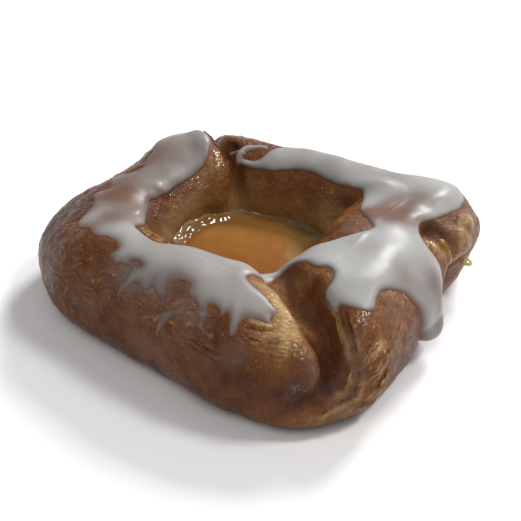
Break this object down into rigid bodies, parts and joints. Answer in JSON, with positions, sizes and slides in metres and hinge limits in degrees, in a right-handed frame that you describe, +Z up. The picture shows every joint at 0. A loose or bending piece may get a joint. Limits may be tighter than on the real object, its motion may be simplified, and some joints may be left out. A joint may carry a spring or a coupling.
{
  "type": "danish pastry",
  "caption": "Folded square pastry with a raised, iced rim round a well that holds jelly and an apricot half.",
  "frame": {"origin": "middle of the underside of the pastry's bounding box, on the surface it stands on", "axes": "+Z up; +X towards the side with the long drip of icing; -Y towards the long front side; the deep fold lies between +X and -Y"},
  "size_m": [0.1278, 0.1092, 0.0376],
  "materials": {
    "crust": "egg-washed brown crust, glossy in patches, with fine flakes",
    "jelly": "clear wet glaze, very glossy",
    "apricot": "smooth wet fruit under glaze",
    "icing": "set sugar icing, satin to glossy, thin and see-through at the edges"
  },
  "bodies": {
    "root": {"pastry": "crust", "filling": "jelly", "apricot_half": "apricot", "icing": "icing"}
  },
  "joints": []
}
